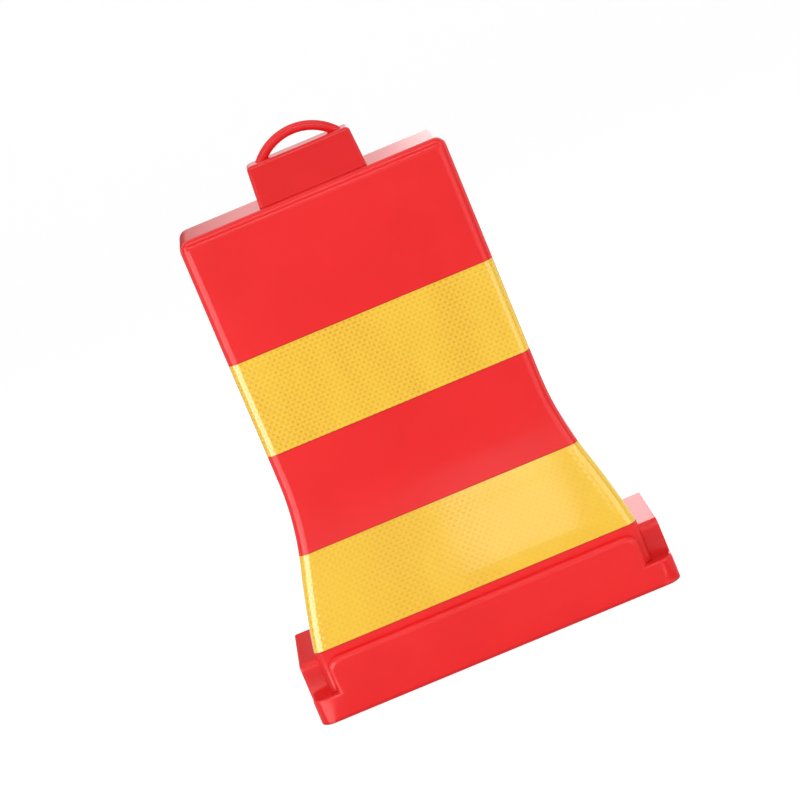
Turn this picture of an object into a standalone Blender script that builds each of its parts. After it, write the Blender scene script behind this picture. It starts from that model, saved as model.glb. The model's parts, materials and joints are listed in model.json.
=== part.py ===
"""A free-standing traffic barrier.

A hollow flared tank stands in a ballasted base tray. A stopper with a carrying loop closes the filler
mouth in its top, a screwed plug closes the drain at its rear, and two bands of reflective film wrap it.
Metres, +Z up, +Y to the rear. The origin is on the floor, under the middle of the base.
"""

import math

import bmesh
import bpy
from mathutils import Matrix, Vector

# Fits between pieces
SEAT = 0.0003             # between faces that rest on each other
SOCKET_GAP = 0.0005       # round the tank's foot in the base tray
POCKET_GAP = 0.001        # round the ballast in its pocket

# Tank, from its floor upwards
TANK_WIDTH = 0.4245
TANK_DEPTH = 0.150
TANK_WALL = 0.006
TANK_EDGE_RADIUS = 0.015
FOOT_HEIGHT = 0.065       # straight foot, below the lower band
LOWER_BAND_HEIGHT = 0.139
MIDDLE_HEIGHT = 0.1552    # bare wall between the bands
UPPER_BAND_HEIGHT = 0.1495
CROWN_HEIGHT = 0.198      # bare wall above the upper band
FLARE_HEIGHT = 0.2505     # of the outward curve, above the foot
KNEE_HEIGHT = 0.116       # where that curve is steepest, above the foot
KNEE_SLOPE = 0.30
FOOT_SLOPE = 0.19
FLARE_STEPS = 14
CORNER_STEPS = 5

# Reflective film
FILM_THICKNESS = 0.0006
FILM_SEAM = 0.001         # between the front and rear film, at the narrow sides

# Base tray
FOOT_PROUD = 0.001        # how far the rubber feet stand out below the tray
SLAB_THICKNESS = 0.040
PAD_HEIGHT = 0.0527       # of the walls that stand on the slab round the tank's foot
PAD_THICKNESS = 0.0148
PAD_INSET = 0.011         # by which a pad is narrower than the tank's foot, at each end
PAD_CORNER_RADIUS = 0.018
PAD_EDGE_RADIUS = 0.009
END_BLOCK_WIDTH = 0.0293
END_BLOCK_DEPTH = 0.203
END_BLOCK_TOP_RADIUS = 0.012
END_BLOCK_EDGE_RADIUS = 0.003
SLAB_CORNER_RADIUS = 0.022
SLAB_EDGE_RADIUS = 0.004
UNION_OVERLAP = 0.010     # by which pads and end blocks reach down into the slab
TRAY_RIM = 0.010          # wall left round the ballast pocket
TRAY_CEILING = 0.007      # wall left above it

# Bottom plate, its screws and the feet
PLATE_THICKNESS = 0.006
SCREW_END = 0.034              # from the pocket's ends to the outer screws
SCREWS_IN_ROW = 4              # along each long side
SCREW_EDGE = 0.016             # from the pocket's long side to the screws
SCREW_HEAD_RADIUS = 0.005
SCREW_HEAD_HEIGHT = 0.003
SCREW_RIM = 0.0005             # straight edge of the countersunk head
SCREW_RADIUS = 0.0024
SCREW_LENGTH = 0.020
SCREW_BOSS_RADIUS = 0.009
RUBBER_RADIUS = 0.025
RUBBER_THICKNESS = 0.004
RUBBER_EDGE = 0.055            # from the pocket's sides to a foot's middle

# Bolts that hold the tank in the tray
BOLT_END = 0.071               # from the ends of the tank's foot to the bolts
BOLT_EDGE = 0.0485             # from its long sides to the bolts
BOLT_RADIUS = 0.005
BOLT_HEAD_RADIUS = 0.009
BOLT_HEAD_HEIGHT = 0.006
BOLT_GRIP = 0.016              # length of bolt inside the tank's floor
WASHER_RADIUS = 0.012
WASHER_THICKNESS = 0.002
INSERT_RADIUS = 0.009
INSERT_LENGTH = 0.018
INSERT_BOSS_RADIUS = 0.016
INSERT_BOSS_HEIGHT = 0.026

# Filler mouth and stopper
MOUTH_OFFSET = 0.007           # of the mouth and stopper, to the right of the middle
MOUTH_WIDTH = 0.150
MOUTH_DEPTH = 0.040
MOUTH_RADIUS = 0.010
COLLAR_DEPTH = 0.026
COLLAR_WALL = 0.005
STOPPER_FOOT_WIDTH = 0.172
STOPPER_FOOT_DEPTH = 0.106
STOPPER_TOP_WIDTH = 0.164
STOPPER_TOP_DEPTH = 0.052
STOPPER_HEIGHT = 0.0602
STOPPER_EDGE_RADIUS = 0.006
STOPPER_WALL = 0.006
SKIRT_DEPTH = 0.028
SKIRT_WALL = 0.004
SEAL_THICKNESS = 0.003
SEAL_HEIGHT = 0.010
SEAL_DROP = 0.008              # from the tank's top to the seal
LUG_HEIGHT = 0.024             # solid ends of the stopper that hold the loop's legs
LUG_LENGTH = 0.033

# Carrying loop
LOOP_OFFSET = 0.0022           # to the right of the stopper's middle
LOOP_SPAN = 0.118              # between the rod's centre lines where they enter the stopper
LOOP_RISE = 0.0252             # from the stopper's top to the rod's centre line
LOOP_ROD_RADIUS = 0.0076
LOOP_EMBED = 0.014
LOOP_STEPS = 24

# Drain
DRAIN_HEIGHT = 0.026           # of its axis, above the tank's underside
DRAIN_SLOT = 0.064             # gap between the rear pads
DRAIN_BOSS_RADIUS = 0.025
DRAIN_BOSS_DEPTH = 0.019       # inwards from the tank's inner wall
BUSH_RADIUS = 0.019
SHANK_RADIUS = 0.0145
SHANK_LENGTH = 0.021
THREAD_GAP = 0.0003
GASKET_RADIUS = 0.0225
GASKET_THICKNESS = 0.0025
FLANGE_RADIUS = 0.0235
FLANGE_THICKNESS = 0.0045
GRIP_LENGTH = 0.040
GRIP_WIDTH = 0.010
GRIP_HEIGHT = 0.0065
ROUND_STEPS = 20
BORE_STEPS = 12

# Heights above the floor
SLAB_TOP = FOOT_PROUD + SLAB_THICKNESS
BASE_TOP = SLAB_TOP + PAD_HEIGHT
POCKET_TOP = SLAB_TOP - TRAY_CEILING
PLATE_TOP = FOOT_PROUD + PLATE_THICKNESS
TANK_BOTTOM = SLAB_TOP + SEAT
FOOT_TOP = TANK_BOTTOM + FOOT_HEIGHT
LOWER_BAND_TOP = FOOT_TOP + LOWER_BAND_HEIGHT
UPPER_BAND_BOTTOM = LOWER_BAND_TOP + MIDDLE_HEIGHT
UPPER_BAND_TOP = UPPER_BAND_BOTTOM + UPPER_BAND_HEIGHT
TANK_TOP = UPPER_BAND_TOP + CROWN_HEIGHT
STOPPER_BOTTOM = TANK_TOP + SEAT
STOPPER_TOP = STOPPER_BOTTOM + STOPPER_HEIGHT
DRAIN_AXIS_Z = TANK_BOTTOM + DRAIN_HEIGHT

TINY = 1e-6
RED = (0.83, 0.030, 0.036)
YELLOW = (0.93, 0.57, 0.070)


# Shared modelling helpers


def collection(name):
    made = bpy.data.collections.new(name)
    bpy.context.scene.collection.children.link(made)
    return made


def material(name, colour, roughness, metallic=0.0):
    made = bpy.data.materials.new(name)
    made.use_nodes = True
    shader = made.node_tree.nodes["Principled BSDF"]
    shader.inputs["Base Color"].default_value = (*colour, 1.0)
    shader.inputs["Roughness"].default_value = roughness
    shader.inputs["Metallic"].default_value = metallic
    return made


def add_object(name, data, finish=None):
    """Links a mesh or curve as a part, or as a hidden helper where it has no finish."""
    made = bpy.data.objects.new(name, data)
    if finish is None:
        HELPERS.objects.link(made)
        made.hide_render = True
        made.display_type = "WIRE"
    else:
        PARTS.objects.link(made)
        data.materials.append(finish)
    return made


def mesh_object(name, bm, finish=None):
    mesh = bpy.data.meshes.new(name)
    bm.to_mesh(mesh)
    bm.free()
    mesh.shade_smooth()
    mesh.set_sharp_from_angle(angle=math.radians(35))
    return add_object(name, mesh, finish)


def rounded_ring(half_width, half_depth, radius, z, centre_x=0.0):
    """Points of a rounded rectangle at height z, anticlockwise from above."""
    points = []
    for quarter, (side_x, side_y) in enumerate(((1, 1), (-1, 1), (-1, -1), (1, -1))):
        corner = Vector((centre_x + side_x * (half_width - radius), side_y * (half_depth - radius), z))
        for step in range(CORNER_STEPS + 1):
            angle = math.radians(90 * (quarter + step / CORNER_STEPS))
            points.append(corner + radius * Vector((math.cos(angle), math.sin(angle), 0)))
    return points


def loft_mesh(rings, closed=False):
    """Skin over rings of equal count. Its ends are capped, or joined to each other where closed is set."""
    bm = bmesh.new()
    loops = [[bm.verts.new(point) for point in ring] for ring in rings]
    pairs = list(zip(loops, loops[1:]))
    if closed:
        pairs.append((loops[-1], loops[0]))
    else:
        bm.faces.new(reversed(loops[0]))
        bm.faces.new(loops[-1])
    for lower, upper in pairs:
        for i in range(len(lower)):
            j = (i + 1) % len(lower)
            bm.faces.new((lower[i], lower[j], upper[j], upper[i]))
    return bm


def box_mesh(low, high):
    low, high = Vector(low), Vector(high)
    bm = bmesh.new()
    place = Matrix.Translation((low + high) / 2) @ Matrix.Diagonal((*(high - low), 1))
    bmesh.ops.create_cube(bm, size=1, matrix=place)
    return bm


def near(place, *others):
    return all(abs(place - other) < TINY for other in others)


def round_edges(bm, radius, steps, chosen):
    edges = [edge for edge in bm.edges if chosen(*(vert.co for vert in edge.verts))]
    bmesh.ops.bevel(bm, geom=edges, offset=radius, segments=steps, profile=0.5, affect="EDGES")


def turned(name, profile, finish=None, steps=ROUND_STEPS, place=Matrix.Identity(4)):
    """A solid of revolution about Z. The profile of (radius, height) runs down its outer side."""
    mesh = bpy.data.meshes.new(name)
    points = [(radius, 0, height) for radius, height in profile]
    links = [(i, i + 1) for i in range(len(points) - 1)]
    if profile[0][0] > TINY:
        links.append((len(points) - 1, 0))
    mesh.from_pydata(points, links, [])
    made = add_object(name, mesh, finish)
    screw = made.modifiers.new("turn", "SCREW")
    screw.steps = screw.render_steps = steps
    screw.use_merge_vertices = True
    screw.merge_threshold = 1e-5
    made.matrix_world = place
    return made


def bar_profile(radius, bottom, top):
    return [(0, top), (radius, top), (radius, bottom), (0, bottom)]


def bars(name, size, places):
    """Upright helper bars of one (radius, bottom, top) at several places."""
    return [turned(name, bar_profile(*size), steps=BORE_STEPS, place=at(x, y)) for x, y in places]


def tube_profile(outer, inner, bottom, top):
    return [(outer, top), (outer, bottom), (inner, bottom), (inner, top)]


def evaluated_mesh(made):
    bpy.context.view_layer.update()
    graph = bpy.context.evaluated_depsgraph_get()
    mesh = bpy.data.meshes.new_from_object(made.evaluated_get(graph))
    mesh.transform(made.matrix_world)
    return mesh


def merged(name, pieces):
    """One hidden helper from several, which it replaces."""
    bm = bmesh.new()
    for piece in pieces:
        bm.from_mesh(evaluated_mesh(piece))
        bpy.data.objects.remove(piece)
    bmesh.ops.remove_doubles(bm, verts=bm.verts, dist=TINY)
    mesh = bpy.data.meshes.new(name)
    bm.to_mesh(mesh)
    bm.free()
    return add_object(name, mesh)


def boolean(target, helper, operation):
    step = target.modifiers.new(helper.name, "BOOLEAN")
    step.operation = operation
    step.object = helper


def at(x=0.0, y=0.0, z=0.0):
    return Matrix.Translation((x, y, z))


def along_y(x, y, z):
    """Places a turned shape with its axis to the rear."""
    return at(x, y, z) @ Matrix.Rotation(-math.pi / 2, 4, "X")


# Tank outline


def flare(z):
    """How far the tank's walls stand outside their upright line at height z."""
    height = z - FOOT_TOP
    reach = FLARE_HEIGHT - KNEE_HEIGHT
    if height >= FLARE_HEIGHT:
        return 0.0
    if height >= KNEE_HEIGHT:
        return KNEE_SLOPE * (FLARE_HEIGHT - height) ** 2 / (2 * reach)
    drop = KNEE_HEIGHT - max(height, 0.0)
    easing = (KNEE_SLOPE - FOOT_SLOPE) * drop**2 / (2 * KNEE_HEIGHT)
    return KNEE_SLOPE * reach / 2 + KNEE_SLOPE * drop - easing


FOOT_HALF_WIDTH = TANK_WIDTH / 2 + flare(FOOT_TOP)
FOOT_HALF_DEPTH = TANK_DEPTH / 2 + flare(FOOT_TOP)
BASE_HALF_WIDTH = FOOT_HALF_WIDTH + SOCKET_GAP + END_BLOCK_WIDTH
BASE_HALF_DEPTH = FOOT_HALF_DEPTH + SOCKET_GAP + PAD_THICKNESS
POCKET_HALF_WIDTH = BASE_HALF_WIDTH - TRAY_RIM
POCKET_HALF_DEPTH = BASE_HALF_DEPTH - TRAY_RIM
POCKET_RADIUS = SLAB_CORNER_RADIUS - TRAY_RIM


def tank_ring(z, inset):
    """The tank's outline at height z, inset from its nominal outer surface."""
    radius = max(TANK_EDGE_RADIUS - inset, TANK_EDGE_RADIUS / 20)
    grown = flare(z) - inset
    return rounded_ring(TANK_WIDTH / 2 + grown, TANK_DEPTH / 2 + grown, radius, z)


def heights(low, high):
    """Heights from low to high at which the tank's curve is followed."""
    pitch = FLARE_HEIGHT / FLARE_STEPS
    grid = [FOOT_TOP + pitch * step for step in range(FLARE_STEPS + 1)]
    return [low] + [z for z in grid if low + pitch / 8 < z < high - pitch / 8] + [high]


def mouth_ring(z, grow=0.0):
    return rounded_ring(MOUTH_WIDTH / 2 + grow, MOUTH_DEPTH / 2 + grow, MOUTH_RADIUS + grow, z, MOUTH_OFFSET)


# Tank


def build_tank(finish):
    recess = FILM_THICKNESS + SEAT
    wall = TANK_WALL
    stretches = (
        (TANK_BOTTOM, FOOT_TOP, 0.0),
        (FOOT_TOP, LOWER_BAND_TOP, recess),
        (LOWER_BAND_TOP, UPPER_BAND_BOTTOM, 0.0),
        (UPPER_BAND_BOTTOM, UPPER_BAND_TOP, recess),
        (UPPER_BAND_TOP, TANK_TOP - TANK_EDGE_RADIUS, 0.0),
    )
    rings = [tank_ring(z, inset) for low, high, inset in stretches for z in heights(low, high)]
    for step in range(1, CORNER_STEPS + 1):
        angle = math.radians(90 * step / CORNER_STEPS)
        inset = TANK_EDGE_RADIUS * (1 - math.cos(angle))
        rings.append(tank_ring(TANK_TOP - TANK_EDGE_RADIUS * (1 - math.sin(angle)), inset))
    rings += [mouth_ring(TANK_TOP), mouth_ring(TANK_TOP - COLLAR_DEPTH)]
    rings += [mouth_ring(TANK_TOP - COLLAR_DEPTH, COLLAR_WALL), mouth_ring(TANK_TOP - wall, COLLAR_WALL)]
    rings.append(tank_ring(TANK_TOP - wall, TANK_EDGE_RADIUS))
    inner = heights(TANK_BOTTOM + wall, TANK_TOP - TANK_EDGE_RADIUS)
    rings += [tank_ring(z, wall) for z in reversed(inner)]
    tank = mesh_object("tank_body", loft_mesh(rings), finish)

    boss = (INSERT_BOSS_RADIUS, TANK_BOTTOM + wall / 2, TANK_BOTTOM + INSERT_BOSS_HEIGHT)
    bosses = bars("insert_boss", boss, bolt_places())
    wall_middle = FOOT_HALF_DEPTH - wall / 2
    bosses.append(
        turned("drain_boss", bar_profile(DRAIN_BOSS_RADIUS, -DRAIN_BOSS_DEPTH - wall / 2, 0),
               place=along_y(0, wall_middle, DRAIN_AXIS_Z))
    )
    boolean(tank, merged("tank_bosses", bosses), "UNION")

    hole = (INSERT_RADIUS + SEAT, TANK_BOTTOM - wall, TANK_BOTTOM + INSERT_LENGTH + 2 * SEAT)
    bores = bars("insert_hole", hole, bolt_places())
    through = DRAIN_BOSS_DEPTH + 2 * wall
    bores.append(
        turned("drain_hole", bar_profile(BUSH_RADIUS + SEAT, -through, wall),
               place=along_y(0, FOOT_HALF_DEPTH, DRAIN_AXIS_Z))
    )
    boolean(tank, merged("tank_bores", bores), "DIFFERENCE")


def build_film(name, low, high, finish):
    """Front and rear halves of one band, which meet at the tank's narrow sides."""
    outer = [tank_ring(z, 0.0) for z in heights(low + SEAT, high - SEAT)]
    inner = [tank_ring(z, FILM_THICKNESS) for z in heights(low + SEAT, high - SEAT)]
    for half, side in (("front", -1), ("rear", 1)):
        bm = loft_mesh(outer + inner[::-1], closed=True)
        bmesh.ops.bisect_plane(
            bm, geom=bm.verts[:] + bm.edges[:] + bm.faces[:], plane_co=(0, side * FILM_SEAM / 2, 0),
            plane_no=(0, side, 0), clear_inner=True,
        )
        bmesh.ops.holes_fill(bm, edges=[edge for edge in bm.edges if edge.is_boundary])
        bmesh.ops.recalc_face_normals(bm, faces=bm.faces)
        mesh_object(f"{name}_{half}", bm, finish)


# Base tray and what is fixed in it


def bolt_places():
    x, y = FOOT_HALF_WIDTH - BOLT_END, FOOT_HALF_DEPTH - BOLT_EDGE
    return [(side_x * x, side_y * y) for side_x in (-1, 1) for side_y in (-1, 1)]


def screw_places():
    end, row = POCKET_HALF_WIDTH - SCREW_END, POCKET_HALF_DEPTH - SCREW_EDGE
    spacing = 2 * end / (SCREWS_IN_ROW - 1)
    return [(step * spacing - end, y) for step in range(SCREWS_IN_ROW) for y in (-row, row)]


def rubber_places():
    x, y = POCKET_HALF_WIDTH - RUBBER_EDGE, POCKET_HALF_DEPTH - RUBBER_EDGE
    return [(side_x * x, side_y * y) for side_x in (-1, 1) for side_y in (-1, 1)]


def end_block(side):
    inner = FOOT_HALF_WIDTH + SOCKET_GAP
    ends = sorted((side * inner, side * BASE_HALF_WIDTH))
    half_depth = END_BLOCK_DEPTH / 2
    bm = box_mesh((ends[0], -half_depth, SLAB_TOP - UNION_OVERLAP), (ends[1], half_depth, BASE_TOP))
    radius = END_BLOCK_TOP_RADIUS
    round_edges(bm, radius, CORNER_STEPS, lambda a, b: near(BASE_TOP, a.z, b.z) and near(a.y, b.y))
    outer = side * BASE_HALF_WIDTH
    round_edges(bm, END_BLOCK_EDGE_RADIUS, 2, lambda a, b: near(outer, a.x, b.x) and max(a.z, b.z) > SLAB_TOP)
    return mesh_object("end_block", bm)


def pad(side, low_x, high_x, corner_radii):
    """A wall in front of the tank's foot, or behind it, with a rounded upper corner at each end."""
    inner, outer = FOOT_HALF_DEPTH + SOCKET_GAP, BASE_HALF_DEPTH
    faces = sorted((side * inner, side * outer))
    bm = box_mesh((low_x, faces[0], SLAB_TOP - UNION_OVERLAP), (high_x, faces[1], BASE_TOP))
    for end, radius in zip((low_x, high_x), corner_radii):
        round_edges(bm, radius, CORNER_STEPS, lambda a, b: near(end, a.x, b.x) and near(BASE_TOP, a.z, b.z))
    face = side * outer
    round_edges(bm, PAD_EDGE_RADIUS, 3, lambda a, b: near(face, a.y, b.y) and max(a.z, b.z) > SLAB_TOP)
    return mesh_object("pad", bm)


def build_tray(finish):
    width, depth = BASE_HALF_WIDTH, BASE_HALF_DEPTH
    bm = box_mesh((-width, -depth, FOOT_PROUD), (width, depth, SLAB_TOP))
    round_edges(bm, SLAB_CORNER_RADIUS, CORNER_STEPS, lambda a, b: not near(a.z, b.z))
    round_edges(bm, SLAB_EDGE_RADIUS, 3, lambda a, b: near(SLAB_TOP, a.z, b.z))
    tray = mesh_object("base_tray", bm, finish)

    reach, slot = FOOT_HALF_WIDTH - PAD_INSET, DRAIN_SLOT / 2
    large, small = PAD_CORNER_RADIUS, PAD_CORNER_RADIUS / 2
    walls = [end_block(-1), end_block(1), pad(-1, -reach, reach, (large, large))]
    walls += [pad(1, -reach, -slot, (large, small)), pad(1, slot, reach, (small, large))]
    boolean(tray, merged("tray_walls", walls), "UNION")

    pocket = [
        rounded_ring(POCKET_HALF_WIDTH, POCKET_HALF_DEPTH, POCKET_RADIUS, z)
        for z in (FOOT_PROUD - TRAY_CEILING, POCKET_TOP)
    ]
    boolean(tray, mesh_object("ballast_pocket", loft_mesh(pocket)), "DIFFERENCE")

    rise = TRAY_CEILING / 2
    boss = (SCREW_BOSS_RADIUS, PLATE_TOP + SEAT, POCKET_TOP + rise)
    boolean(tray, merged("screw_bosses", bars("screw_boss", boss, screw_places())), "UNION")

    pilot = (SCREW_RADIUS + SEAT, FOOT_PROUD, FOOT_PROUD + SCREW_LENGTH + SEAT)
    bolt_hole = (BOLT_RADIUS + SOCKET_GAP, POCKET_TOP - rise, SLAB_TOP + rise)
    bores = bars("pilot", pilot, screw_places()) + bars("bolt_hole", bolt_hole, bolt_places())
    boolean(tray, merged("tray_bores", bores), "DIFFERENCE")


def build_ballast(finish):
    gap, low, high = POCKET_GAP, PLATE_TOP + SEAT, POCKET_TOP - SEAT
    rings = [
        rounded_ring(POCKET_HALF_WIDTH - gap, POCKET_HALF_DEPTH - gap, POCKET_RADIUS, z) for z in (low, high)
    ]
    ballast = mesh_object("ballast_slab", loft_mesh(rings), finish)
    bores = bars("boss_hole", (SCREW_BOSS_RADIUS + gap, low - gap, high + gap), screw_places())
    bores += bars("bolt_hole", (WASHER_RADIUS + gap, low - gap, high + gap), bolt_places())
    boolean(ballast, merged("ballast_holes", bores), "DIFFERENCE")


def screw_profile(grow=0.0, below=0.0):
    """A countersunk screw with its head flush with the plate's underside."""
    tip, head, bottom = (FOOT_PROUD + height for height in (SCREW_LENGTH, SCREW_HEAD_HEIGHT, 0.0))
    narrow, wide = SCREW_RADIUS + grow, SCREW_HEAD_RADIUS + grow
    return [
        (0, tip), (narrow, tip), (narrow, head),
        (wide, bottom + SCREW_RIM), (wide, bottom - below), (0, bottom - below),
    ]


def build_bottom_plate(finish, screw_finish, rubber_finish):
    rings = [
        rounded_ring(POCKET_HALF_WIDTH - SOCKET_GAP, POCKET_HALF_DEPTH - SOCKET_GAP, POCKET_RADIUS, z)
        for z in (FOOT_PROUD, PLATE_TOP)
    ]
    plate = mesh_object("bottom_plate", loft_mesh(rings), finish)
    recess = (RUBBER_RADIUS + SEAT, -PLATE_THICKNESS, RUBBER_THICKNESS + SEAT)
    cuts = [
        turned("countersink", screw_profile(SEAT, PLATE_THICKNESS), steps=BORE_STEPS, place=at(x, y))
        for x, y in screw_places()
    ]
    cuts += [turned("recess", bar_profile(*recess), place=at(x, y)) for x, y in rubber_places()]
    boolean(plate, merged("plate_cuts", cuts), "DIFFERENCE")
    for number, (x, y) in enumerate(screw_places(), 1):
        turned(f"plate_screw_{number}", screw_profile(), screw_finish, BORE_STEPS, at(x, y))
    edge = RUBBER_THICKNESS / 4
    foot = [
        (0, RUBBER_THICKNESS), (RUBBER_RADIUS, RUBBER_THICKNESS), (RUBBER_RADIUS, edge),
        (RUBBER_RADIUS - edge, 0), (0, 0),
    ]
    for number, (x, y) in enumerate(rubber_places(), 1):
        turned(f"rubber_foot_{number}", foot, rubber_finish, place=at(x, y))


def build_tank_bolts(bolt_finish, insert_finish):
    washer_top = POCKET_TOP - SEAT
    head_top = washer_top - WASHER_THICKNESS - SEAT
    insert_bottom = TANK_BOTTOM + SEAT
    bore = BOLT_RADIUS + SEAT
    insert = tube_profile(INSERT_RADIUS, bore, insert_bottom, insert_bottom + INSERT_LENGTH)
    washer = tube_profile(WASHER_RADIUS, bore, washer_top - WASHER_THICKNESS, washer_top)
    for number, (x, y) in enumerate(bolt_places(), 1):
        turned(f"tank_insert_{number}", insert, insert_finish, BORE_STEPS, at(x, y))
        turned(f"tank_washer_{number}", washer, bolt_finish, BORE_STEPS, at(x, y))
        bm = bmesh.new()
        middle = head_top - BOLT_HEAD_HEIGHT / 2
        bmesh.ops.create_cone(
            bm, cap_ends=True, segments=6, radius1=BOLT_HEAD_RADIUS, radius2=BOLT_HEAD_RADIUS,
            depth=BOLT_HEAD_HEIGHT, matrix=at(x, y, middle),
        )
        bolt = mesh_object(f"tank_bolt_{number}", bm, bolt_finish)
        shank = bars("shank", (BOLT_RADIUS, middle, TANK_BOTTOM + BOLT_GRIP), [(x, y)])
        boolean(bolt, merged(f"bolt_shank_{number}", shank), "UNION")


# Drain


def build_drain(bush_finish, rubber_finish, plug_finish):
    """The bush in the tank's rear wall, and the plug with its gasket. Heights run outwards from the wall."""
    place = along_y(0, FOOT_HALF_DEPTH, DRAIN_AXIS_Z)
    inner_end = -TANK_WALL - DRAIN_BOSS_DEPTH
    bore = SHANK_RADIUS + THREAD_GAP
    turned("drain_bush", tube_profile(BUSH_RADIUS, bore, inner_end, -SEAT), bush_finish, place=place)
    gasket_top = SEAT + GASKET_THICKNESS
    turned("drain_gasket", tube_profile(GASKET_RADIUS, bore, SEAT, gasket_top), rubber_finish, place=place)

    flange = gasket_top + SEAT
    face = flange + FLANGE_THICKNESS
    profile = [
        (0, face), (FLANGE_RADIUS, face), (FLANGE_RADIUS, flange), (SHANK_RADIUS, flange),
        (SHANK_RADIUS, flange - SHANK_LENGTH), (0, flange - SHANK_LENGTH),
    ]
    plug = turned("drain_plug", profile, plug_finish, place=place)
    half_length, half_width = GRIP_LENGTH / 2, GRIP_WIDTH / 2
    root, crest = face - FLANGE_THICKNESS / 2, face + GRIP_HEIGHT
    bm = box_mesh((-half_length, -half_width, root), (half_length, half_width, crest))
    round_edges(bm, half_width / 2, 2, lambda a, b: max(a.z, b.z) > face)
    grip = mesh_object("grip", bm)
    grip.matrix_world = place
    boolean(plug, merged("drain_grip", [grip]), "UNION")


# Stopper and carrying loop


def stopper_ring(width, depth, radius, z):
    return rounded_ring(width / 2, depth / 2, radius, z, MOUTH_OFFSET)


def block_ring(z, inset, radius):
    """The stopper block's tapered outline at height z, inset from its outer surface."""
    share = (z - STOPPER_BOTTOM) / STOPPER_HEIGHT
    width = STOPPER_FOOT_WIDTH + share * (STOPPER_TOP_WIDTH - STOPPER_FOOT_WIDTH)
    depth = STOPPER_FOOT_DEPTH + share * (STOPPER_TOP_DEPTH - STOPPER_FOOT_DEPTH)
    return stopper_ring(width - 2 * inset, depth - 2 * inset, radius, z)


def skirt_ring(z, inset=0.0):
    """The outline of the skirt that hangs in the mouth, inside the seal."""
    gap = SEAL_THICKNESS + 2 * SEAT + inset
    return mouth_ring(z, -gap)


def build_stopper(finish, rubber_finish):
    radius, wall = STOPPER_EDGE_RADIUS, STOPPER_WALL
    inner_radius = radius / 2
    ceiling, lug_bottom = STOPPER_TOP - wall, STOPPER_TOP - LUG_HEIGHT
    lug_gap = STOPPER_TOP_WIDTH - 2 * wall - 2 * LUG_LENGTH
    hollow_depth = STOPPER_TOP_DEPTH - 2 * wall
    web, skirt_bottom = STOPPER_BOTTOM + wall, STOPPER_BOTTOM - SKIRT_DEPTH
    rings = [stopper_ring(lug_gap, hollow_depth, inner_radius, z) for z in (ceiling, lug_bottom)]
    rings += [block_ring(z, wall, inner_radius) for z in (lug_bottom, web)]
    rings += [skirt_ring(z, SKIRT_WALL) for z in (web, skirt_bottom)]
    rings += [skirt_ring(z) for z in (skirt_bottom, STOPPER_BOTTOM)]
    rings.append(block_ring(STOPPER_BOTTOM, 0.0, radius))
    for step in range(CORNER_STEPS // 2 + 1):
        angle = math.radians(90 * step / (CORNER_STEPS // 2))
        inset = radius * (1 - math.cos(angle))
        z = STOPPER_TOP - radius * (1 - math.sin(angle))
        rings.append(block_ring(z, inset, max(radius - inset, radius / 10)))
    stopper = mesh_object("filler_stopper", loft_mesh(rings), finish)

    seal_top = TANK_TOP - SEAL_DROP
    seal_heights = (seal_top - SEAL_HEIGHT, seal_top)
    outer = [mouth_ring(z, -SEAT) for z in seal_heights]
    inner = [mouth_ring(z, -SEAT - SEAL_THICKNESS) for z in seal_heights]
    mesh_object("stopper_seal", loft_mesh(outer + inner[::-1], closed=True), rubber_finish)
    return stopper


def loop_curve(name, rod_radius, embed):
    """A rod bent to an arc over the stopper, with its ends let into the stopper's top."""
    arc_radius = (LOOP_SPAN**2 / 4 + LOOP_RISE**2) / (2 * LOOP_RISE)
    centre_z = STOPPER_TOP + LOOP_RISE - arc_radius
    end = math.acos((arc_radius - LOOP_RISE - embed) / arc_radius)
    curve = bpy.data.curves.new(name, "CURVE")
    curve.dimensions = "3D"
    curve.bevel_depth = rod_radius
    curve.bevel_resolution = 4
    curve.use_fill_caps = True
    spline = curve.splines.new("POLY")
    spline.points.add(LOOP_STEPS)
    for step, point in enumerate(spline.points):
        angle = end * (2 * step / LOOP_STEPS - 1)
        x, z = arc_radius * math.sin(angle), arc_radius * math.cos(angle)
        point.co = (MOUTH_OFFSET + LOOP_OFFSET + x, 0, centre_z + z, 1)
    return curve


def build_loop(stopper, finish):
    add_object("carry_loop", loop_curve("carry_loop", LOOP_ROD_RADIUS, LOOP_EMBED), finish)
    cutter = loop_curve("loop_channel", LOOP_ROD_RADIUS + SEAT, LOOP_EMBED + SEAT)
    boolean(stopper, merged("loop_channels", [add_object("loop_channel", cutter)]), "DIFFERENCE")


def carry(axis_name, place, names):
    """Hangs moving pieces on an empty that lies on their joint's axis."""
    axis = bpy.data.objects.new(axis_name, None)
    PARTS.objects.link(axis)
    axis.matrix_world = place
    for name in names:
        piece = bpy.data.objects[name]
        piece.parent = axis
        piece.matrix_parent_inverse = place.inverted()


def clear_scene():
    for old in list(bpy.data.objects):
        bpy.data.objects.remove(old)


clear_scene()
PARTS = collection("traffic_barrier")
HELPERS = collection("cutters")

red = material("red_polyethylene", RED, 0.28)
film = material("yellow_reflective_film", YELLOW, 0.35)
rubber = material("black_rubber", (0.03, 0.03, 0.032), 0.8)
concrete = material("cast_concrete", (0.42, 0.41, 0.39), 0.9)
dark_plastic = material("black_polyethylene", (0.045, 0.045, 0.048), 0.5)
steel = material("zinc_plated_steel", (0.62, 0.63, 0.64), 0.35, 1.0)
brass = material("brass", (0.78, 0.60, 0.28), 0.35, 1.0)

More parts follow.
